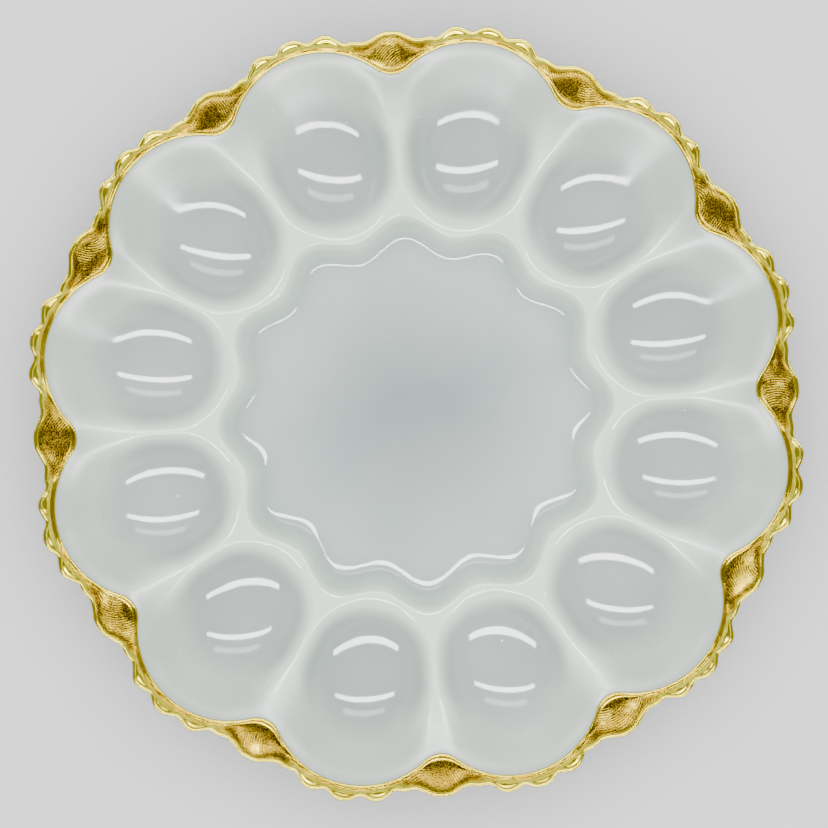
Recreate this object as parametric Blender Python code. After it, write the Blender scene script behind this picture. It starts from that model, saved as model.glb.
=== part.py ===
"""Pressed milk-glass egg tray: twelve egg wells round a lobed centre well, with a gilt beaded rim.

The tray is twelve equal petals. Half a petal is lofted from the middle of an egg well to the rib beside
it, mirrored, and turned round the tray's axis. The axis is Z, the foot stands on Z = 0, and a rib lies
on +X. All lengths are in metres.
"""

import math

import bmesh
import bpy
from mathutils import Matrix

MM = 0.001

# Overall sizes
PETALS = 12
OVERALL_DIAMETER = 248 * MM  # over the tips of the middle beads
RIM_HEIGHT = 29 * MM  # the scalloped line where the wells end and the gilt rim starts
GLASS_WALL = 4.5 * MM

# Gilt rim. Insets are measured inwards from the tips of the middle beads.
RIM_BAND = 5.1 * MM  # from a bead's tip to the crown of the scallop behind it
SCALLOP_RADIUS = 29 * MM
CUSP_FILL = 3.6 * MM  # how far a rounding fills the cusp where two scallops meet, over a rib
LIP_RISE = 1.2 * MM  # the raised outer lip, above the scalloped line
LIP_WIDTH = 1.5 * MM
LEAF_DISH = 0.7 * MM  # how far the leaf between two scallops is dished
RIM_THICKNESS = 3.4 * MM
BEAD_OUTLINE = (  # degrees from the middle of a petal, and the inset of the edge there
    (0.0, 0.0 * MM),
    (2.75, 2.2 * MM),
    (5.0, 1.3 * MM),
    (8.0, 5.1 * MM),
    (11.0, 5.5 * MM),
    (13.3, 3.8 * MM),
    (15.0, 3.1 * MM),
)
GILT_THICKNESS = 0.35 * MM
GILT_GAP = 0.3 * MM  # between the gilding and the glass under it
GILT_EDGE_INSET = 0.5 * MM  # bare glass outside the gilding

# Egg wells
WELL_FLOOR = 8.5 * MM
EGG_HALF_WIDTH = 22 * MM
EGG_HALF_LENGTH = 25 * MM
EGG_END_GAP = 26.5 * MM  # from the centre well's crest to the lowest point of an egg well
WELL_WALL_SLOPE = math.radians(70)  # the steepest an egg well gets, at its sides and its inner end
WELL_OUTER_SLOPE = math.radians(37)  # the same, towards the rim
PETAL_SLOPE = math.radians(32)  # how steeply a petal rises to the scalloped line

# Centre well
CENTRE_CREST_RADIUS = 56.5 * MM  # at the middle of an egg well
CENTRE_LOBE = 5.5 * MM  # how much further out the crest runs at a rib
CENTRE_FLOOR = 7 * MM
RIDGE_HEIGHT = 20.5 * MM  # the flat tops round the centre well
RIB_RISE = 12 * MM  # how much the tops would rise along a rib, from the centre well to the rim
CENTRE_WALL_SLOPE = math.radians(60)
CENTRE_FILLET = 5 * MM

# Foot ring
FOOT_RADIUS = 43 * MM
FOOT_WIDTH = 4 * MM
FOOT_CHAMFER = 1 * MM

WELL_BLEND = 3 * MM  # rounding where an egg well opens into its petal
RIB_BLEND = 3 * MM  # rounding of the ribs and of the centre well's crest, on top
CUSP_BLEND = 6 * MM  # rounding of a rib where it reaches the rim
UNDER_BLEND = 9 * MM  # rounding of the grooves under the ribs and the crest

TIP_RADIUS = OVERALL_DIAMETER / 2
HALF_PETAL = math.pi / PETALS
CROWN_RADIUS = TIP_RADIUS - RIM_BAND
SCALLOP_CENTRE = CROWN_RADIUS - SCALLOP_RADIUS
WELL_MIDDLE = CENTRE_CREST_RADIUS + EGG_END_GAP


def blended(first, second, blend):
    """The lower of two heights, with the edge between them rounded."""
    overlap = max(blend - abs(first - second), 0) / blend
    return min(first, second) - overlap**2 * blend / 4


def lobe(angle):
    """0 at the middle of a well and 1 at a rib."""
    return (1 - math.cos(PETALS * angle)) / 2


def edge_radius(angle):
    """The beaded outline at an angle that BEAD_OUTLINE names."""
    return TIP_RADIUS - dict(BEAD_OUTLINE)[round(math.degrees(angle), 2)]


def arc_radius(angle):
    """The distance from the tray's axis to one scallop's arc, which is centred on its well's axis."""
    along = SCALLOP_CENTRE * math.cos(angle)
    across = SCALLOP_CENTRE * math.sin(angle)
    return along + math.sqrt(max(SCALLOP_RADIUS**2 - across**2, 0))


def scallop_radius(angle):
    """The distance from the tray's axis to the scalloped line: two arcs, with the cusp between them filled."""
    return -blended(-arc_radius(angle), -arc_radius(2 * HALF_PETAL - angle), 4 * CUSP_FILL)


def wall_run():
    """The width of the centre well's wall, seen from above."""
    rise = RIDGE_HEIGHT - CENTRE_FLOOR - CENTRE_FILLET * (1 - math.cos(CENTRE_WALL_SLOPE))
    return CENTRE_FILLET * math.sin(CENTRE_WALL_SLOPE) + rise / math.tan(CENTRE_WALL_SLOPE)


def crest_radius(angle):
    return CENTRE_CREST_RADIUS + CENTRE_LOBE * lobe(angle)


def floor_radius(angle):
    return crest_radius(angle) - wall_run()


def centre_height(radius, angle, offset):
    """The centre well: a flat floor, a fillet and a sloping wall. Offset is the depth under the top skin."""
    out = radius - floor_radius(angle)
    fillet = CENTRE_FILLET + offset
    fillet_run = fillet * math.sin(CENTRE_WALL_SLOPE)
    height = CENTRE_FLOOR - offset
    if out > 0:
        arc_run = min(out, fillet_run)
        height += fillet - math.sqrt(fillet**2 - arc_run**2)
        height += (out - arc_run) * math.tan(CENTRE_WALL_SLOPE)
    return height


def egg_height(along, across, offset):
    """The lower half of an egg lying along the petal, with a straight wall once it is steep."""
    half_length = EGG_HALF_LENGTH + offset
    half_width = EGG_HALF_WIDTH + offset
    forward = along - WELL_MIDDLE
    out = math.hypot(forward / half_length, across / half_width)
    towards_rim = max(forward, 0) / max(math.hypot(forward, across), MM)
    steepest = WELL_WALL_SLOPE + (WELL_OUTER_SLOPE - WELL_WALL_SLOPE) * towards_rim
    arc_out = min(out, math.sin(steepest))
    arc_rise = half_width * (1 - math.sqrt(1 - arc_out**2))
    return WELL_FLOOR - offset + arc_rise + (out - arc_out) * half_width * math.tan(steepest)


def petal_height(along, across, offset):
    """The open outer part of a well: it rises evenly to the scalloped line."""
    inside = SCALLOP_RADIUS - math.hypot(along - SCALLOP_CENTRE, across)
    return RIM_HEIGHT - inside * math.tan(PETAL_SLOPE) - offset / math.cos(PETAL_SLOPE)


def along_rib(radius):
    """0 at the centre well's crest, and 1 where a rib reaches the rim."""
    start = CENTRE_CREST_RADIUS + CENTRE_LOBE
    return max(radius - start, 0) / (scallop_radius(HALF_PETAL) - start)


def land_height(radius, offset):
    """The flat tops round the centre well, which rise along the ribs."""
    return RIDGE_HEIGHT - offset + RIB_RISE * along_rib(radius) ** 4


def pressed_height(radius, angle, offset, crest_blend, rib_blend):
    """The tray's skin inside the scalloped line: the lowest of the pressed shapes, with rounded edges."""
    crest = blended(land_height(radius, offset), centre_height(radius, angle, offset), crest_blend)
    wells = []
    for from_axis in (angle, 2 * HALF_PETAL - angle):
        along = radius * math.cos(from_axis)
        across = radius * math.sin(from_axis)
        egg = egg_height(along, across, offset)
        petal = petal_height(along, across, offset)
        wells.append(blended(egg, petal, WELL_BLEND))
    return blended(crest, blended(wells[0], wells[1], rib_blend), crest_blend)


def top_height(radius, angle):
    rib_blend = RIB_BLEND + (CUSP_BLEND - RIB_BLEND) * along_rib(radius)
    return pressed_height(radius, angle, 0, RIB_BLEND, rib_blend)


def under_height(radius, angle):
    return pressed_height(radius, angle, GLASS_WALL, UNDER_BLEND, UNDER_BLEND)


def rim_section(angle):
    """(radius, height) across the gilt rim, from the scalloped line to the outer lip."""
    line = scallop_radius(angle)
    edge = edge_radius(angle) - GILT_EDGE_INSET
    lip = edge - LIP_WIDTH
    line_height = top_height(line, angle)
    lip_height = RIM_HEIGHT + LIP_RISE
    leaf_width = TIP_RADIUS - RIM_BAND - scallop_radius(HALF_PETAL)
    dish = LEAF_DISH * min((lip - line) / leaf_width, 1)
    return [
        (line, line_height),
        ((line + lip) / 2, (line_height + lip_height) / 2 - dish),
        (lip, lip_height - LIP_RISE / 2),
        ((lip + edge) / 2, lip_height),
        (edge, lip_height - LIP_RISE / 3),
    ]


def glass_section(angle):
    """(radius, height) round half of the glass, from the middle on top to the middle underneath."""
    floor = floor_radius(angle)
    crest = crest_radius(angle)
    line = scallop_radius(angle)
    edge = edge_radius(angle)
    section = [(0, CENTRE_FLOOR)]

    # Centre well: floor, fillet, wall and crest
    wall_shares = (0.0, 0.2, 0.4, 0.7, 0.92, 1.1)
    radii = [floor + share * (crest - floor) for share in wall_shares]
    # Egg well, from the crest out to the scalloped line
    well_shares = (0.06, 0.12, 0.2, 0.3, 0.41, 0.53, 0.66, 0.78, 0.9)
    radii += [crest + share * (line - crest) for share in well_shares]
    radii.append(line - GILT_GAP)
    section += [(radius, top_height(radius, angle)) for radius in radii]

    # A rebate under the gilding, then the bare edge
    rebate = GILT_THICKNESS + GILT_GAP
    section += [(radius, height - rebate) for radius, height in rim_section(angle)]
    edge_height = RIM_HEIGHT - rebate
    section += [
        (edge, edge_height),
        (edge, edge_height - RIM_THICKNESS / 2),
        (edge - RIM_THICKNESS / 2, edge_height - RIM_THICKNESS),
    ]

    # Underside of the wells, from the rim back to the foot
    under_shares = (0.97, 0.82, 0.66, 0.5, 0.34, 0.18, 0.03)
    radii = [crest + share * (line - crest) for share in under_shares]
    radii += [floor + share * (crest - floor) for share in (0.6, 0.15)]
    section += [(radius, under_height(radius, angle)) for radius in radii]

    # Foot ring and the recess inside it
    foot_top = CENTRE_FLOOR - GLASS_WALL
    foot_out = FOOT_RADIUS + FOOT_WIDTH / 2
    foot_in = FOOT_RADIUS - FOOT_WIDTH / 2
    section += [
        (foot_out, FOOT_CHAMFER),
        (foot_out - FOOT_CHAMFER, 0),
        (foot_in + FOOT_CHAMFER, 0),
        (foot_in, FOOT_CHAMFER),
        (foot_in - FOOT_CHAMFER, foot_top),
        (0, foot_top),
    ]
    return section


def gilt_section(angle):
    """(radius, height) round the gilding: its face, and its back one thickness below."""
    face = rim_section(angle)
    back = [(radius, height - GILT_THICKNESS) for radius, height in reversed(face)]
    return face + back + face[:1]


def new_material(name, colour, roughness, metallic):
    material = bpy.data.materials.new(name)
    material.use_nodes = True
    shader = material.node_tree.nodes["Principled BSDF"]
    shader.inputs["Base Color"].default_value = (*colour, 1)
    shader.inputs["Roughness"].default_value = roughness
    shader.inputs["Metallic"].default_value = metallic
    material.diffuse_color = (*colour, 1)
    return material


def new_ring_of_petals(name, section_at, material):
    """Lofts half a petal through its sections, mirrors it and turns it round the tray."""
    shape = bmesh.new()
    columns = []
    for degrees, _ in BEAD_OUTLINE:
        angle = math.radians(degrees)
        column = []
        for radius, height in section_at(angle):
            column.append(shape.verts.new((radius * math.cos(angle), radius * math.sin(angle), height)))
        columns.append(column)
    for column, beside in zip(columns, columns[1:]):
        for step in range(len(column) - 1):
            shape.faces.new((column[step], column[step + 1], beside[step + 1], beside[step]))
    # Glass and gilding split their four-sided faces the same way, so the gap between them stays even.
    bmesh.ops.triangulate(shape, faces=shape.faces[:], quad_method="SHORT_EDGE")
    bmesh.ops.mirror(shape, geom=shape.faces[:] + shape.edges[:] + shape.verts[:], axis="Y", merge_dist=0)
    # The wells' middles lie half a petal from the ribs, and a rib lies on +X.
    bmesh.ops.rotate(shape, verts=shape.verts, matrix=Matrix.Rotation(HALF_PETAL, 3, "Z"))
    bmesh.ops.spin(
        shape,
        geom=shape.faces[:] + shape.edges[:] + shape.verts[:],
        axis=(0, 0, 1),
        angle=2 * math.pi,
        steps=PETALS,
        use_duplicate=True,
    )
    bmesh.ops.remove_doubles(shape, verts=shape.verts, dist=0.01 * MM)
    bmesh.ops.recalc_face_normals(shape, faces=shape.faces)
    mesh = bpy.data.meshes.new(name)
    shape.to_mesh(mesh)
    shape.free()
    mesh.shade_smooth()
    mesh.set_sharp_from_angle(angle=math.radians(50))
    mesh.materials.append(material)
    tray_part = bpy.data.objects.new(name, mesh)
    bpy.context.scene.collection.objects.link(tray_part)
    return tray_part


for stale in list(bpy.data.objects):
    bpy.data.objects.remove(stale)

milk_glass = new_material("milk_glass", (0.80, 0.83, 0.84), 0.08, 0.0)
fired_gold = new_material("fired_gold", (0.83, 0.62, 0.22), 0.25, 1.0)
new_ring_of_petals("glass_tray", glass_section, milk_glass)
new_ring_of_petals("rim_gilding", gilt_section, fired_gold)
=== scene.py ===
import math

import bmesh
import bpy
from mathutils import Matrix, Vector


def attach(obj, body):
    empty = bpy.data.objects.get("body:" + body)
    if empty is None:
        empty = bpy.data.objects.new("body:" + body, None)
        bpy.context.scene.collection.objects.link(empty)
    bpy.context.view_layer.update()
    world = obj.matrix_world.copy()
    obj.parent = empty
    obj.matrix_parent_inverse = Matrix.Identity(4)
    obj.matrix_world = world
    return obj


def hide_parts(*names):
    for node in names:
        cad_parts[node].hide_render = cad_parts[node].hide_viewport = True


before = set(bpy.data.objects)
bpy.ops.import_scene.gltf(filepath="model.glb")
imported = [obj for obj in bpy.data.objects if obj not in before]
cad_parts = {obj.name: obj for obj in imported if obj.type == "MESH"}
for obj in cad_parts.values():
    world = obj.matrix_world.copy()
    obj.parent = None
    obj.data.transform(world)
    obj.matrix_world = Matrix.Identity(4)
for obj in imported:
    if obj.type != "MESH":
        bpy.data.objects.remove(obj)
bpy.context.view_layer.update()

# ---------------------------------------------------------------------------------------------
# Glass tray
# White opal glass, pressed in one piece between a mould and a plunger and then fire-polished:
# twelve egg wells that open onto petals, round a flat centre well, on a low foot ring.
# ---------------------------------------------------------------------------------------------

MM = 0.001
PETALS = 12
HALF_PETAL = math.pi / PETALS
COLUMNS = 31  # from the middle of a well to the rib beside it
GLASS_WALL = 4.5 * MM

CENTRE_FLOOR = 7 * MM
CENTRE_CREST = 56.5 * MM  # radius of the crest, in line with a well
CENTRE_LOBE = 5.5 * MM  # how much further out the crest swings at a rib
CENTRE_WALL_WIDTH = 6.9 * MM
CENTRE_FILLET = 4 * MM
FLOOR_DISH = 6 * MM  # how far in from the wall the floor starts to curve up
FLOOR_DISH_RISE = 1.1 * MM
RIDGE_HEIGHT = 20.5 * MM  # of the land round the centre well, where the ribs start
RIB_RISE = 7.3 * MM  # from there to a rib's outer end

WELL_FLOOR = 8.5 * MM
WELL_MIDDLE = 84.3 * MM
EGG_HALF_WIDTH = 22.6 * MM
EGG_INNER_LENGTH = 26.5 * MM
EGG_OUTER_LENGTH = 24.5 * MM
WELL_WALL_SLOPE = math.radians(70)
WELL_OUTER_SLOPE = math.radians(37)
PETAL_SLOPE = math.radians(36)  # at the rim, easing inwards
PETAL_HOLLOW = 6.5  # how fast the slope eases, per metre
PETAL_DEPTH = 1.2  # straight down through the slope, as a share of the wall's thickness

RIM_HEIGHT = 29 * MM
SCALLOP_RADIUS = 28.9 * MM
SCALLOP_CENTRE = 89.95 * MM
CUSP_FILL = 3.4 * MM
LINE_RISE = 0.6 * MM  # the raised line along the scallops
LINE_WIDTH = 0.9 * MM
LIP_RISE = 1.1 * MM  # the raised lip round the beads and leaves
LIP_WIDTH = 1.9 * MM
LIP_STEP = 0.75 * MM  # from a leaf or bead up to the lip
LEAF_DISH = 0.9 * MM
LEAF_START = 7.6  # degrees from the middle of a well
LEAF_BLEND = 2.4  # degrees over which the last bead turns into the leaf
BEAD_CROWN = 0.5 * MM
FULL_BEAD = 2 * MM  # a bead narrower than this is crowned less
NARROWEST_CELL = 0.5 * MM
CELL_SINK = 0.15 * MM  # leaves and beads start a little below the line
LINE_PROFILE = (  # across the line: shares of its width and of its rise
    (-0.55, 0.05),
    (-0.3, 0.6),
    (0.0, 1.0),
    (0.3, 0.6),
    (0.5, 0.1),
)
LINE_FOOT = 0.6  # where the line ends and a leaf or bead starts, as a share of the line's width
CELL_PROFILE = (0.0, 0.12, 0.3, 0.5, 0.7, 0.88, 1.0)  # shares of the way across a leaf or bead
LIP_PROFILE = (  # the share of the way across the lip, and mm below its top
    (0.16, 0.5),
    (0.3, 0.15),
    (0.45, 0.0),
    (0.6, 0.0),
    (0.75, 0.12),
    (0.88, 0.4),
    (0.97, 0.8),
)
EDGE_PROFILE = ((0.0, 1.3), (0.1, 2.0), (0.5, 2.7), (1.4, 3.4))  # mm in from the edge, mm below the lip
BEADED_EDGE = (  # degrees from the middle of a well, and the radius of the tray's edge in mm
    (0.0, 124.0),
    (1.25, 123.45),
    (2.0, 122.3),
    (2.7, 121.65),
    (3.7, 122.25),
    (5.0, 122.75),
    (6.0, 122.1),
    (6.9, 120.4),
    (7.75, 119.0),
    (9.0, 119.05),
    (10.9, 118.4),
    (12.5, 119.5),
    (13.7, 120.6),
    (15.0, 120.85),
)

CREST_ROUNDING = 1.3 * MM
LAND_ROUNDING = 4.5 * MM
WELL_ROUNDING = 4 * MM
RIB_ROUNDING = 5 * MM
CUSP_ROUNDING = 6.5 * MM
UNDER_ROUNDING = 9 * MM

FOOT_OUTER = 45 * MM
FOOT_INNER = 41 * MM
FOOT_PROFILE = ((0.15, 1.2), (-0.15, 0.35), (-0.6, 0.05), (-1.2, 0.0))  # mm out from a side, mm up


def rounded_lower(first, second, rounding):
    """The lower of two heights, with the edge where they cross rounded off."""
    near = max(rounding - abs(first - second), 0) / rounding
    return min(first, second) - near**2 * rounding / 4


def crest_radius(angle):
    """The lobed top edge of the centre well, at an angle from the middle of a well."""
    return CENTRE_CREST + CENTRE_LOBE * (1 - math.cos(PETALS * angle)) / 2


def floor_radius(angle):
    return crest_radius(angle) - CENTRE_WALL_WIDTH


def arc_radius(angle):
    """The round end of one petal."""
    along = SCALLOP_CENTRE * math.cos(angle)
    across = SCALLOP_CENTRE * math.sin(angle)
    return along + math.sqrt(max(SCALLOP_RADIUS**2 - across**2, 0))


def line_radius(angle):
    """The scalloped line where wells end and the rim starts, with its cusps filled."""
    return -rounded_lower(-arc_radius(angle), -arc_radius(2 * HALF_PETAL - angle), 4 * CUSP_FILL)


def edge_radius(angle):
    """The beaded edge, on a smooth curve through the points of BEADED_EDGE."""
    degrees = math.degrees(angle)
    last = len(BEADED_EDGE) - 1
    after = next((i for i, (at, _) in enumerate(BEADED_EDGE) if at >= degrees - 1e-6), last)
    after = max(after, 1)

    def slope(at):
        if at in (0, last):
            return 0
        before, beyond = BEADED_EDGE[at - 1], BEADED_EDGE[at + 1]
        return (beyond[1] - before[1]) / (beyond[0] - before[0])

    (start, low), (end, high) = BEADED_EDGE[after - 1], BEADED_EDGE[after]
    span = end - start
    share = (degrees - start) / span
    rest = 1 - share
    curve = low * rest**2 * (1 + 2 * share) + high * share**2 * (1 + 2 * rest)
    curve += span * share * rest * (slope(after - 1) * rest - slope(after) * share)
    return curve * MM


def centre_well(radius, angle, depth):
    """Flat floor with a dished edge, fillet and leaning wall, pressed depth below the top skin."""
    out = radius - floor_radius(angle)
    dished = max(out + FLOOR_DISH, 0) / FLOOR_DISH
    dish = dished**2 if dished < 1 else 2 * dished - 1
    bottom = CENTRE_FLOOR - depth + FLOOR_DISH_RISE * dish
    if out <= 0:
        return bottom
    dish_slope = 2 * FLOOR_DISH_RISE / FLOOR_DISH
    rise = RIDGE_HEIGHT - CENTRE_FLOOR - FLOOR_DISH_RISE - dish_slope * CENTRE_WALL_WIDTH
    fillet = CENTRE_FILLET + depth
    lean = math.atan2(rise, CENTRE_WALL_WIDTH - CENTRE_FILLET / 2)
    arc_out = min(out, fillet * math.sin(lean))
    return bottom + fillet - math.sqrt(fillet**2 - arc_out**2) + (out - arc_out) * math.tan(lean)


def egg_well(along, across, depth):
    """Half an egg lying along the petal, blended into the petal's slope up to the rim."""
    forward = along - WELL_MIDDLE
    half_length = (EGG_OUTER_LENGTH if forward > 0 else EGG_INNER_LENGTH) + depth
    half_width = EGG_HALF_WIDTH + depth
    out = math.hypot(forward / half_length, across / half_width)
    towards_rim = max(forward, 0) / max(math.hypot(forward, across), MM)
    steepest = WELL_WALL_SLOPE + (WELL_OUTER_SLOPE - WELL_WALL_SLOPE) * towards_rim
    arc_out = min(out, math.sin(steepest))
    egg = WELL_FLOOR - depth + half_width * (1 - math.sqrt(1 - arc_out**2))
    egg += (out - arc_out) * half_width * math.tan(steepest)
    inside = SCALLOP_RADIUS - math.hypot(along - SCALLOP_CENTRE, across)
    petal = RIM_HEIGHT - inside * math.tan(PETAL_SLOPE) + PETAL_HOLLOW * inside**2
    petal -= PETAL_DEPTH * depth
    return rounded_lower(egg, petal, WELL_ROUNDING)


def along_rib(radius):
    """0 at the inner end of a rib, 1 at the rim."""
    start = CENTRE_CREST + CENTRE_LOBE
    return min(max((radius - start) / (line_radius(HALF_PETAL) - start), 0), 1)


def land_height(radius):
    """The level land round the centre well, and the ribs that rise evenly from it to the rim."""
    return RIDGE_HEIGHT + RIB_RISE * along_rib(radius)


def skin(radius, angle, depth, crest_rounding, land_rounding, rib_rounding):
    """Height of the tray's skin: the lowest of land, centre well and the two nearest egg wells."""
    land = land_height(radius) - depth
    crest = rounded_lower(land, centre_well(radius, angle, depth), crest_rounding)
    beside = 2 * HALF_PETAL - angle
    own = egg_well(radius * math.cos(angle), radius * math.sin(angle), depth)
    next_one = egg_well(radius * math.cos(beside), radius * math.sin(beside), depth)
    return rounded_lower(crest, rounded_lower(own, next_one, rib_rounding), land_rounding)


def top_skin(radius, angle):
    rib_rounding = RIB_ROUNDING + (CUSP_ROUNDING - RIB_ROUNDING) * along_rib(radius)
    return skin(radius, angle, 0, CREST_ROUNDING, LAND_ROUNDING, rib_rounding)


def under_skin(radius, angle):
    return skin(radius, angle, GLASS_WALL, UNDER_ROUNDING, UNDER_ROUNDING, UNDER_ROUNDING)


def leaf_share(angle):
    """0 over the beads, 1 in the leaf between two scallops."""
    share = min(max((math.degrees(angle) - LEAF_START) / LEAF_BLEND, 0), 1)
    return share * share * (3 - 2 * share)


def spread(start, end, count):
    """Evenly spaced values, with both ends."""
    return [start + (end - start) * step / (count - 1) for step in range(count)]


def rim_section(angle):
    """(radius, height) over the raised line, a leaf or bead, the raised lip and the rounded edge."""
    line = line_radius(angle)
    edge = edge_radius(angle)
    line_height = top_skin(line, angle)
    lip_height = RIM_HEIGHT + LIP_RISE
    section = [
        (line + across * LINE_WIDTH, line_height + LINE_RISE * rise) for across, rise in LINE_PROFILE
    ]
    cell_start = line + LINE_FOOT * LINE_WIDTH
    cell_end = max(edge - LIP_WIDTH, cell_start + NARROWEST_CELL)
    width = cell_end - cell_start
    leaf = leaf_share(angle)
    dish = LEAF_DISH * leaf - BEAD_CROWN * (1 - leaf) * min(width / FULL_BEAD, 1)
    for share in CELL_PROFILE:
        level = line_height + (lip_height - LIP_STEP - line_height) * share
        hollow = dish * (1 - (2 * share - 1) ** 4)
        section.append((cell_start + width * share, level - CELL_SINK - hollow))
    lip = edge - cell_end
    for share, drop in LIP_PROFILE:
        section.append((cell_end + lip * share, lip_height - drop * MM))
    for inset, drop in EDGE_PROFILE:
        section.append((edge - inset * MM, lip_height - drop * MM))
    return section


def tray_section(angle):
    """(radius, height) from the middle of the floor, over the rim and back to the middle underneath.

    The points lie closest together at the floor's fillet, the crest and the edge of a well.
    """
    floor_edge = floor_radius(angle)
    crest = crest_radius(angle)
    line = line_radius(angle)
    outs = spread(floor_edge - FLOOR_DISH, floor_edge - 0.7 * MM, 6)
    outs += spread(floor_edge, floor_edge + 2.6 * MM, 7)
    outs += [floor_edge + 3.6 * MM, floor_edge + 4.7 * MM]
    outs += spread(floor_edge + 5.5 * MM, floor_edge + 7.9 * MM, 8)
    outs += spread(floor_edge + 8.5 * MM, floor_edge + 13 * MM, 8)
    outs += spread(floor_edge + 14 * MM, line - 0.95 * MM, 24)
    section = [(radius * MM, CENTRE_FLOOR) for radius in (0, 12, 25, 38)]
    section += [(radius, top_skin(radius, angle)) for radius in outs]
    section += rim_section(angle)

    unders = spread(line - 2 * MM, crest + 3 * MM, 11) + [crest, crest - 3.5 * MM, crest - 7 * MM]
    section += [(radius, under_skin(radius, angle)) for radius in unders]
    recess = CENTRE_FLOOR - GLASS_WALL
    section.append((FOOT_OUTER + 1.2 * MM, recess - 0.3 * MM))
    section += [(FOOT_OUTER + out * MM, up * MM) for out, up in FOOT_PROFILE]
    section += [(FOOT_INNER - out * MM, up * MM) for out, up in reversed(FOOT_PROFILE)]
    section += [
        (FOOT_INNER - 1.2 * MM, recess - 0.15 * MM),
        (FOOT_INNER - 3 * MM, recess),
        (20 * MM, recess),
        (0, recess),
    ]
    return section


# The section through a well is drawn point by point and spun as far as the rib.
bpy.ops.object.select_all(action="DESELECT")
bpy.ops.mesh.primitive_plane_add(size=MM, location=(0, 0, CENTRE_FLOOR))
glass_tray = bpy.context.object
glass_tray.name = "pressed_glass_tray"
bpy.ops.object.transform_apply(location=True)
bpy.ops.object.mode_set(mode="EDIT")
bpy.ops.mesh.merge(type="CENTER")
well_section = tray_section(0)
for (radius, height), (next_radius, next_height) in zip(well_section, well_section[1:]):
    step = (next_radius - radius, 0, next_height - height)
    bpy.ops.mesh.extrude_region_move(TRANSFORM_OT_translate={"value": step})
bpy.ops.mesh.select_all(action="SELECT")
bpy.ops.mesh.spin(steps=COLUMNS - 1, angle=HALF_PETAL, center=(0, 0, 0), axis=(0, 0, 1))
bpy.ops.object.mode_set(mode="OBJECT")

# Every point of the spun blank is pressed to its place between the well's middle and the rib.
pressed = [tray_section(column / (COLUMNS - 1) * HALF_PETAL) for column in range(COLUMNS)]
side = 1 if sum(vertex.co.y for vertex in glass_tray.data.vertices) > 0 else -1
for vertex in glass_tray.data.vertices:
    from_axis = vertex.co.xy.length
    if from_axis < 0.1 * MM:
        continue
    column = round(abs(math.atan2(vertex.co.y, vertex.co.x)) / HALF_PETAL * (COLUMNS - 1))
    angle = column / (COLUMNS - 1) * HALF_PETAL
    row = min(
        range(1, len(well_section) - 1),
        key=lambda at: abs(well_section[at][0] - from_axis) + abs(well_section[at][1] - vertex.co.z),
    )
    radius, height = pressed[column][row]
    vertex.co = (radius * math.cos(angle), side * radius * math.sin(angle), height)

# The half petal is mirrored, turned until a rib lies on +X, and repeated round the axis.
bpy.ops.object.mode_set(mode="EDIT")
bpy.ops.mesh.select_all(action="SELECT")
bpy.ops.mesh.duplicate()
bpy.ops.transform.mirror(constraint_axis=(False, True, False), center_override=(0, 0, 0))
bpy.ops.mesh.select_all(action="SELECT")
bpy.ops.mesh.remove_doubles(threshold=0.01 * MM)
bpy.ops.transform.rotate(value=HALF_PETAL, orient_axis="Z", center_override=(0, 0, 0))
bpy.ops.mesh.spin(steps=PETALS, angle=2 * math.pi, center=(0, 0, 0), axis=(0, 0, 1), dupli=True)
bpy.ops.mesh.select_all(action="SELECT")
bpy.ops.mesh.remove_doubles(threshold=0.01 * MM)
bpy.ops.mesh.normals_make_consistent(inside=False)
bpy.ops.object.mode_set(mode="OBJECT")
bpy.ops.object.shade_smooth()

# The glass is thickest, and so whitest, on the land, the crest and the ribs, and this whiteness is also
# painted light on these raised tops. The whiteness fades down their sides and towards the ribs' outer ends.
CREST_DROP = 0.8 * MM  # the crest is this much lower than the land, and as white
WHITE_DEPTH = 6 * MM
WHITE_SURPLUS = 1.08  # over 1, so that more than the very top is fully white
WHITE_FROM = 45 * MM  # the centre floor, further in, is thin
WHITE_TO = 105 * MM
WHITE_FADE = 14 * MM

glass_tray.data.attributes.new("thick_and_lit_glass", "FLOAT", "POINT")
thick_and_lit_glass = glass_tray.data.attributes["thick_and_lit_glass"]
for vertex in glass_tray.data.vertices:
    from_axis = vertex.co.xy.length
    ridge = max(top_skin(max(from_axis, CENTRE_CREST), HALF_PETAL), RIDGE_HEIGHT - CREST_DROP)
    share = min(max(WHITE_SURPLUS - (ridge - vertex.co.z) / WHITE_DEPTH, 0), 1)
    fade = min(max((WHITE_TO - from_axis) / WHITE_FADE, 0), 1)
    white = share**2 * (3 - 2 * share) * fade
    thick_and_lit_glass.data[vertex.index].value = white if from_axis > WHITE_FROM else 0


def add_node(material, kind, **settings):
    """Adds a shader node. A setting is one of its properties, or else one of its inputs.

    An input goes by its name, or by its number after an i, and takes a value or another's output.
    """
    made = material.node_tree.nodes.new(kind)
    for name, value in settings.items():
        if hasattr(made, name):
            setattr(made, name, value)
            continue
        numbered = name[0] == "i" and name[1:].isdigit()
        socket = made.inputs[int(name[1:]) if numbered else name.replace("_", " ")]
        if isinstance(value, bpy.types.NodeSocket):
            material.node_tree.links.new(value, socket)
        else:
            socket.default_value = value
    return made


def math_node(material, operation, first, second):
    return add_node(material, "ShaderNodeMath", operation=operation, i0=first, i1=second).outputs[0]


def mixed_colour(material, share, first, second):
    """The first colour where share is 0, and the second where it is 1."""
    mix = material.node_tree.nodes.new("ShaderNodeMix")
    mix.data_type = "RGBA"
    for socket, value in ((mix.inputs[0], share), (mix.inputs[6], first), (mix.inputs[7], second)):
        if isinstance(value, bpy.types.NodeSocket):
            material.node_tree.links.new(value, socket)
        else:
            socket.default_value = value
    return mix.outputs[2]


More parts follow.
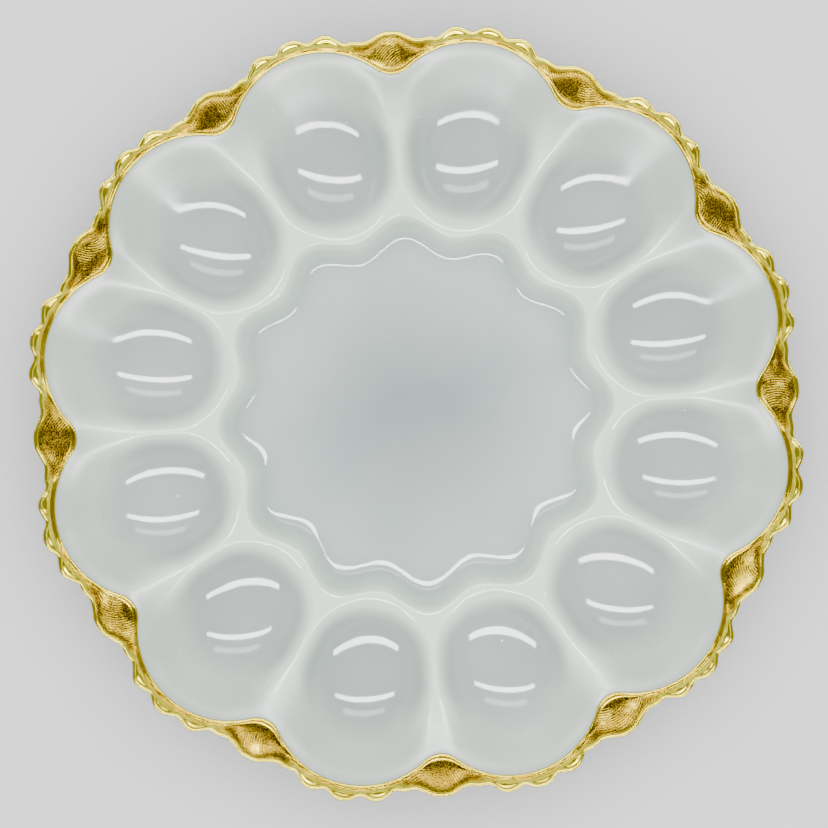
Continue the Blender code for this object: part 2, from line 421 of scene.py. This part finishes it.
def ramped(material, value, low, high, from_value=0.0, to_value=1.0):
    """Value taken smoothly from low..high to from_value..to_value."""
    made = add_node(material, "ShaderNodeMapRange", interpolation_type="SMOOTHSTEP")
    made.inputs[1].default_value = low
    made.inputs[2].default_value = high
    made.inputs[3].default_value = from_value
    made.inputs[4].default_value = to_value
    material.node_tree.links.new(value, made.inputs[0])
    return made.outputs[0]


# Painted light and shade: the thick tone is partly painted light on the raised land, crest and ribs, the
# well tone is painted shade, and the floor's middle tone is a painted reflection of the dark camera above.
FLOOR_MIDDLE_PAINTED_REFLECTION_TONE = (0.315, 0.365, 0.365, 1)
FLOOR_EDGE_TONE = (0.455, 0.530, 0.515, 1)
CENTRE_WALL_TONE = (0.600, 0.710, 0.620, 1)
WELL_PAINTED_SHADE_TONE = (0.360, 0.415, 0.402, 1)
PETAL_TONE = (0.490, 0.560, 0.500, 1)
THICK_AND_LIT_TONE = (0.795, 0.910, 0.785, 1)
CLOUD_TONE = (0.88, 0.91, 0.88, 1)
BUBBLE_TONE = (1.0, 1.0, 1.0, 1)
BUBBLE_SIZE = 0.05  # as a share of the cells that the bubbles are scattered in
BUBBLE_FREE = 0.86  # share of the cells that have none
PETAL_DULLNESS = 0.24  # added to the roughness of the polish

milk_glass = bpy.data.materials.new("milk_glass")
milk_glass.use_nodes = True
glass_links = milk_glass.node_tree.links
opal = milk_glass.node_tree.nodes["Principled BSDF"]
glass_place = add_node(milk_glass, "ShaderNodeTexCoord").outputs["Object"]
glass_height = add_node(milk_glass, "ShaderNodeSeparateXYZ", Vector=glass_place).outputs["Z"]
flat_place = add_node(
    milk_glass, "ShaderNodeVectorMath", operation="MULTIPLY", i0=glass_place, i1=(1, 1, 0)
).outputs[0]
glass_radius = add_node(
    milk_glass, "ShaderNodeVectorMath", operation="LENGTH", i0=flat_place
).outputs["Value"]
clouds = add_node(
    milk_glass, "ShaderNodeTexNoise", Vector=glass_place, Scale=26.0, Detail=3.0, Roughness=0.45
).outputs[0]

# Thick glass is whiter and warmer than the thin wells, and the petals lie between the two. Beyond the
# glass's own thickness, the tones are painted light and shade: painted light on the raised land, crest and
# ribs, painted shade in the wells, and a painted reflection of the dark camera above in the middle of the
# centre floor.
# The heights and radii where one tone turns into the next are in metres.
thick_and_lit = add_node(milk_glass, "ShaderNodeAttribute", attribute_name="thick_and_lit_glass").outputs["Fac"]
on_petal = ramped(milk_glass, glass_height, 0.0100, 0.0190)
on_petal = math_node(milk_glass, "MULTIPLY", on_petal, ramped(milk_glass, glass_radius, 0.084, 0.100))
# Painted reflection of the dark camera above: the centre floor darkens towards its middle.
floor_share = ramped(milk_glass, glass_radius, 0.004, 0.050)
thin_and_shaded = mixed_colour(milk_glass, floor_share, FLOOR_MIDDLE_PAINTED_REFLECTION_TONE, FLOOR_EDGE_TONE)
wall_share = ramped(milk_glass, glass_height, 0.0085, 0.0130)
thin_and_shaded = mixed_colour(milk_glass, wall_share, thin_and_shaded, CENTRE_WALL_TONE)
# Painted shade in the egg wells.
well_share = ramped(milk_glass, glass_radius, 0.058, 0.064)
thin_and_shaded = mixed_colour(milk_glass, well_share, thin_and_shaded, WELL_PAINTED_SHADE_TONE)
thin_and_shaded = mixed_colour(milk_glass, on_petal, thin_and_shaded, PETAL_TONE)
body = mixed_colour(milk_glass, thick_and_lit, thin_and_shaded, THICK_AND_LIT_TONE)
cloud_share = ramped(milk_glass, clouds, 0.35, 0.65, 0.0, 0.10)
body = mixed_colour(milk_glass, cloud_share, body, CLOUD_TONE)

# Pinhead bubbles and grit just under the surface, in a few places.
seeds = add_node(milk_glass, "ShaderNodeTexVoronoi", Vector=glass_place, Scale=130.0, Randomness=1.0)
from_seed = seeds.outputs["Distance"]
pick = add_node(milk_glass, "ShaderNodeSeparateColor", Color=seeds.outputs["Color"])
speck = math_node(milk_glass, "LESS_THAN", from_seed, BUBBLE_SIZE)
chosen = math_node(milk_glass, "GREATER_THAN", pick.outputs[0], BUBBLE_FREE)
speck = math_node(milk_glass, "MULTIPLY", speck, chosen)
body = mixed_colour(milk_glass, speck, body, BUBBLE_TONE)
glass_links.new(body, opal.inputs["Base Color"])

# Fire polish: nearly flat, with the slow ripple of pressed glass and faint scuffs, and duller on
# the petals.
ripple = add_node(milk_glass, "ShaderNodeTexNoise", Vector=glass_place, Scale=70.0, Detail=1.5).outputs[0]
scuffs = add_node(milk_glass, "ShaderNodeTexNoise", Vector=glass_place, Scale=900.0, Detail=2.0).outputs[0]
dulled = math_node(milk_glass, "MULTIPLY_ADD", on_petal, PETAL_DULLNESS)
glass_links.new(ramped(milk_glass, scuffs, 0.45, 0.75, 0.045, 0.11), dulled.node.inputs[2])
glass_links.new(dulled, opal.inputs["Roughness"])
relief = math_node(milk_glass, "MULTIPLY_ADD", speck, 0.5)
glass_links.new(ripple, relief.node.inputs[2])
polish = add_node(milk_glass, "ShaderNodeBump", Strength=0.55, Distance=0.00022, Height=relief)
glass_links.new(polish.outputs[0], opal.inputs["Normal"])
opal.inputs["IOR"].default_value = 1.72
opal.inputs["Subsurface Weight"].default_value = 0.7
opal.inputs["Subsurface Radius"].default_value = (1.0, 1.0, 0.9)
opal.inputs["Subsurface Scale"].default_value = 0.0022

glass_tray.data.materials.clear()
glass_tray.data.materials.append(milk_glass)
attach(glass_tray, "root")
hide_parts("glass_tray")

# ---------------------------------------------------------------------------------------------
# Rim gilding
# Bright gold brushed on the rim and fired: a thin film over the raised line, the leaves, the beads and the
# lip, brown and streaked in the leaves, where the brown is partly a painted reflection of the dark
# surroundings above, with the very edge of the glass left bare.
# ---------------------------------------------------------------------------------------------

GILT_FILM = 0.04 * MM
GILT_LIFT = 0.015 * MM  # clear of the glass
BARE_EDGE = 0.42 * MM
BARE_LINE = 0.45  # where the film starts, as a share of the line's width in from its middle
RIM_ONLY = 25 * MM  # the film lies above this height
LEAF_MIDDLE = 113  # mm from the axis
STROKE_CENTRE = 9  # mm from a leaf's middle to the point that its brush strokes go round
STROKE_TURN = 2.4  # radians that this point turns from one leaf to the next
STROKE_STEP = 7.3  # mm between the slices of the pattern that the leaves are taken from
PAD_FROM_LINE = 0.5 * MM
PAD_FROM_EDGE = 1.6 * MM
PAD_FADE = 0.5  # mm

bpy.ops.object.select_all(action="DESELECT")
glass_tray.select_set(True)
bpy.context.view_layer.objects.active = glass_tray
bpy.ops.object.duplicate()
rim_gilding = bpy.context.object
rim_gilding.name = "fired_gold_rim"
# The copy also took over the tray's notes and its tie to the body; the notes are dropped, and it is tied to
# the body again at the end.
for key in list(rim_gilding.keys()):
    del rim_gilding[key]
rim_gilding.parent = None


def from_well_middle(point):
    """The angle between a point and the middle of the nearest well."""
    turn = math.atan2(point.y, point.x) % (2 * HALF_PETAL)
    return abs(turn - HALF_PETAL)


# The rim's upper faces are kept from the copied tray, and get the film's thickness.
bpy.ops.object.mode_set(mode="EDIT")
bpy.ops.mesh.select_mode(type="FACE")
bpy.ops.mesh.select_all(action="DESELECT")
film = bmesh.from_edit_mesh(rim_gilding.data)
for face in film.faces:
    middle = face.calc_center_median()
    angle = from_well_middle(middle)
    inner = line_radius(angle) - BARE_LINE * LINE_WIDTH
    gilt = inner < middle.xy.length < edge_radius(angle) - BARE_EDGE and middle.z > RIM_ONLY
    face.select = not (gilt and face.normal.z > 0.1)
bmesh.update_edit_mesh(rim_gilding.data)
bpy.ops.mesh.delete(type="FACE")
bpy.ops.object.mode_set(mode="OBJECT")
leafing = rim_gilding.modifiers.new("leafing", "SOLIDIFY")
leafing.thickness = GILT_FILM
leafing.offset = 1 + 2 * GILT_LIFT / GILT_FILM
bpy.ops.object.modifier_apply(modifier=leafing.name)
bpy.ops.object.shade_smooth()

# Each point keeps its place in its own leaf, in millimetres, and how far it lies in the leaf's pad.
rim_gilding.data.attributes.new("in_leaf", "FLOAT_VECTOR", "POINT")
rim_gilding.data.attributes.new("leaf_pad", "FLOAT", "POINT")
in_leaf = rim_gilding.data.attributes["in_leaf"]
leaf_pad = rim_gilding.data.attributes["leaf_pad"]
for vertex in rim_gilding.data.vertices:
    angle = from_well_middle(vertex.co)
    radius = vertex.co.xy.length
    rib = round(math.atan2(vertex.co.y, vertex.co.x) / (2 * HALF_PETAL))
    turned = vertex.co.copy()
    turned.rotate(Matrix.Rotation(-rib * 2 * HALF_PETAL, 3, "Z"))
    in_leaf.data[vertex.index].vector = (
        turned.y / MM + STROKE_CENTRE * math.cos(rib * STROKE_TURN),
        turned.x / MM - LEAF_MIDDLE + STROKE_CENTRE * math.sin(rib * STROKE_TURN),
        rib * STROKE_STEP,
    )
    past_line = radius - line_radius(angle) - PAD_FROM_LINE
    inside = min(past_line, edge_radius(angle) - PAD_FROM_EDGE - radius) / MM
    leaf_pad.data[vertex.index].value = leaf_share(angle) * min(max(inside / PAD_FADE, 0), 1)

BRIGHT_TONE = (0.80, 0.62, 0.02, 1)
BRIGHTEST_TONE = (0.90, 0.74, 0.06, 1)
# The brown tones are partly a painted reflection of the dark surroundings that the flat leaves mirror.
BROWN_PAINTED_REFLECTION_TONE = (0.050, 0.030, 0.001, 1)
LIGHT_BROWN_PAINTED_REFLECTION_TONE = (0.230, 0.140, 0.005, 1)
STROKE_TONE = (0.85, 0.60, 0.04, 1)
RUBBED_TONE = (0.80, 0.58, 0.03, 1)
PINHOLE_TONE = (0.42, 0.27, 0.02, 1)

fired_gold = bpy.data.materials.new("fired_gold")
fired_gold.use_nodes = True
gold_links = fired_gold.node_tree.links
gold = fired_gold.node_tree.nodes["Principled BSDF"]
gold_place = add_node(fired_gold, "ShaderNodeTexCoord").outputs["Object"]
leaf_place = add_node(fired_gold, "ShaderNodeAttribute", attribute_name="in_leaf").outputs["Vector"]
leaf = add_node(fired_gold, "ShaderNodeAttribute", attribute_name="leaf_pad").outputs["Fac"]
patches = add_node(fired_gold, "ShaderNodeTexNoise", Vector=gold_place, Scale=130.0, Detail=3.0).outputs[0]
stipple = add_node(
    fired_gold, "ShaderNodeTexNoise", Vector=gold_place, Scale=2600.0, Detail=2.0, Roughness=0.5
).outputs[0]
strokes = add_node(
    fired_gold, "ShaderNodeTexWave", wave_type="RINGS", rings_direction="Z", wave_profile="SIN",
    Vector=leaf_place, Scale=0.42, Distortion=3.0, Detail=3.0, Detail_Scale=0.9,
).outputs["Fac"]
pinholes = add_node(fired_gold, "ShaderNodeTexNoise", Vector=gold_place, Scale=900.0, Detail=2.0).outputs[0]

# Polished on the line, the beads and the lip; browner in the leaves, where it was brushed on thin and where
# the brown is also a painted reflection of the dark surroundings above, with brighter strokes and patches.
bright_share = ramped(fired_gold, patches, 0.4, 0.65)
bright = mixed_colour(fired_gold, bright_share, BRIGHT_TONE, BRIGHTEST_TONE)
stroke_lines = ramped(fired_gold, strokes, 0.72, 1.0)
stroke_patches = ramped(fired_gold, patches, 0.44, 0.56, 0.1, 0.65)
thin_strokes = math_node(fired_gold, "MULTIPLY", stroke_lines, stroke_patches)
# Painted reflection: the dark brown of the leaves stands in for the dim surroundings they mirror, over the
# real brown of the thin brushed gold.
brown_share = ramped(fired_gold, stipple, 0.38, 0.62)
brown = mixed_colour(fired_gold, brown_share, BROWN_PAINTED_REFLECTION_TONE, LIGHT_BROWN_PAINTED_REFLECTION_TONE)
brown = mixed_colour(fired_gold, thin_strokes, brown, STROKE_TONE)
rubbed = ramped(fired_gold, patches, 0.56, 0.68, 0.0, 0.7)
brown = mixed_colour(fired_gold, rubbed, brown, RUBBED_TONE)
tone = mixed_colour(fired_gold, leaf, bright, brown)
pinhole_share = ramped(fired_gold, pinholes, 0.70, 0.75, 0.0, 0.5)
tone = mixed_colour(fired_gold, pinhole_share, tone, PINHOLE_TONE)
gold_links.new(tone, gold.inputs["Base Color"])
gold.inputs["Metallic"].default_value = 1
rough_leaf = ramped(fired_gold, stipple, 0.35, 0.65, 0.20, 0.38)
rough_rim = ramped(fired_gold, pinholes, 0.5, 0.75, 0.16, 0.26)
rough = add_node(fired_gold, "ShaderNodeMix", data_type="FLOAT")
for socket, value in ((rough.inputs[0], leaf), (rough.inputs[2], rough_rim), (rough.inputs[3], rough_leaf)):
    gold_links.new(value, socket)
gold_links.new(rough.outputs[0], gold.inputs["Roughness"])
marks = math_node(fired_gold, "ADD", math_node(fired_gold, "MULTIPLY", thin_strokes, 0.9), stipple)
marks = math_node(fired_gold, "MULTIPLY", marks, leaf)
marks = math_node(fired_gold, "ADD", marks, math_node(fired_gold, "MULTIPLY", pinholes, 0.05))
hammered = add_node(fired_gold, "ShaderNodeBump", Strength=0.7, Distance=0.00010, Height=marks)
gold_links.new(hammered.outputs[0], gold.inputs["Normal"])

rim_gilding.data.materials.clear()
rim_gilding.data.materials.append(fired_gold)
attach(rim_gilding, "root")
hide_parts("rim_gilding")

# ---------------------------------------------------------------------------------------------
# Floor, lights and camera
# A plain pale floor, a broad panel overhead that only lights the tray, two long strips and a dim
# panel that only show in it as gleams, and a camera high above.
# ---------------------------------------------------------------------------------------------

CAMERA_ROLL = math.radians(-4)
CAMERA_PLACE = (-0.00073, 0.00005, 3.0)
CAMERA_LENS = 411.5
FLOOR_SIZE = 8
PALE_DARKER = (0.66, 0.66, 0.655, 1)
PALE_LIGHTER = (0.72, 0.72, 0.715, 1)
STUDIO_COLOUR = (0.95, 0.99, 1.0, 1)
STUDIO_STRENGTH = 0.25

bpy.ops.object.select_all(action="DESELECT")
bpy.ops.mesh.primitive_plane_add(size=FLOOR_SIZE, location=(0, 0, 0))
floor = bpy.context.object
floor.name = "floor"
pale_floor = bpy.data.materials.new("pale_floor")
pale_floor.use_nodes = True
surface = pale_floor.node_tree.nodes["Principled BSDF"]
floor_place = add_node(pale_floor, "ShaderNodeTexCoord").outputs["Object"]
grain = add_node(pale_floor, "ShaderNodeTexNoise", Vector=floor_place, Scale=600.0, Detail=2.0).outputs[0]
shade = mixed_colour(pale_floor, grain, PALE_DARKER, PALE_LIGHTER)
pale_floor.node_tree.links.new(shade, surface.inputs["Base Color"])
surface.inputs["Roughness"].default_value = 0.8
floor.data.materials.append(pale_floor)

studio = bpy.data.worlds.new("studio")
bpy.context.scene.world = studio
studio.use_nodes = True
studio.node_tree.nodes["Background"].inputs["Color"].default_value = STUDIO_COLOUR
studio.node_tree.nodes["Background"].inputs["Strength"].default_value = STUDIO_STRENGTH


def soft_light(name, towards, lean, distance, size, power, mirrored=True):
    """A rectangular light that leans from overhead in a direction, in degrees, and faces the tray.

    A mirrored light only shows as a gleam on the tray, and any other one only lights it.
    """
    turn = math.radians(towards) + CAMERA_ROLL
    tilt = math.radians(lean)
    away = Vector((math.sin(tilt) * math.cos(turn), math.sin(tilt) * math.sin(turn), math.cos(tilt)))
    bpy.ops.object.light_add(type="AREA", location=away * distance)
    light = bpy.context.object
    light.name = name
    light.data.shape = "RECTANGLE"
    light.data.size, light.data.size_y = size
    light.data.energy = power
    light.visible_camera = False
    light.visible_glossy = mirrored
    light.visible_diffuse = not mirrored
    across = Vector((-math.sin(turn), math.cos(turn), 0))
    light.rotation_euler = Matrix((across, away.cross(across), away)).transposed().to_euler()


soft_light("overhead", 90, 0, 1.5, (3.0, 3.0), 105, mirrored=False)
soft_light("strip_front", -90, 49, 1.0, (2.2, 0.17), 40)
soft_light("strip_back", 90, 27, 1.0, (2.2, 0.14), 33)
soft_light("panel_back", 90, 50, 1.3, (1.6, 0.20), 6.5)

bpy.ops.object.camera_add(location=CAMERA_PLACE, rotation=(0, 0, CAMERA_ROLL))
camera = bpy.context.object
camera.data.sensor_width = 36
camera.data.lens = CAMERA_LENS
bpy.context.scene.camera = camera
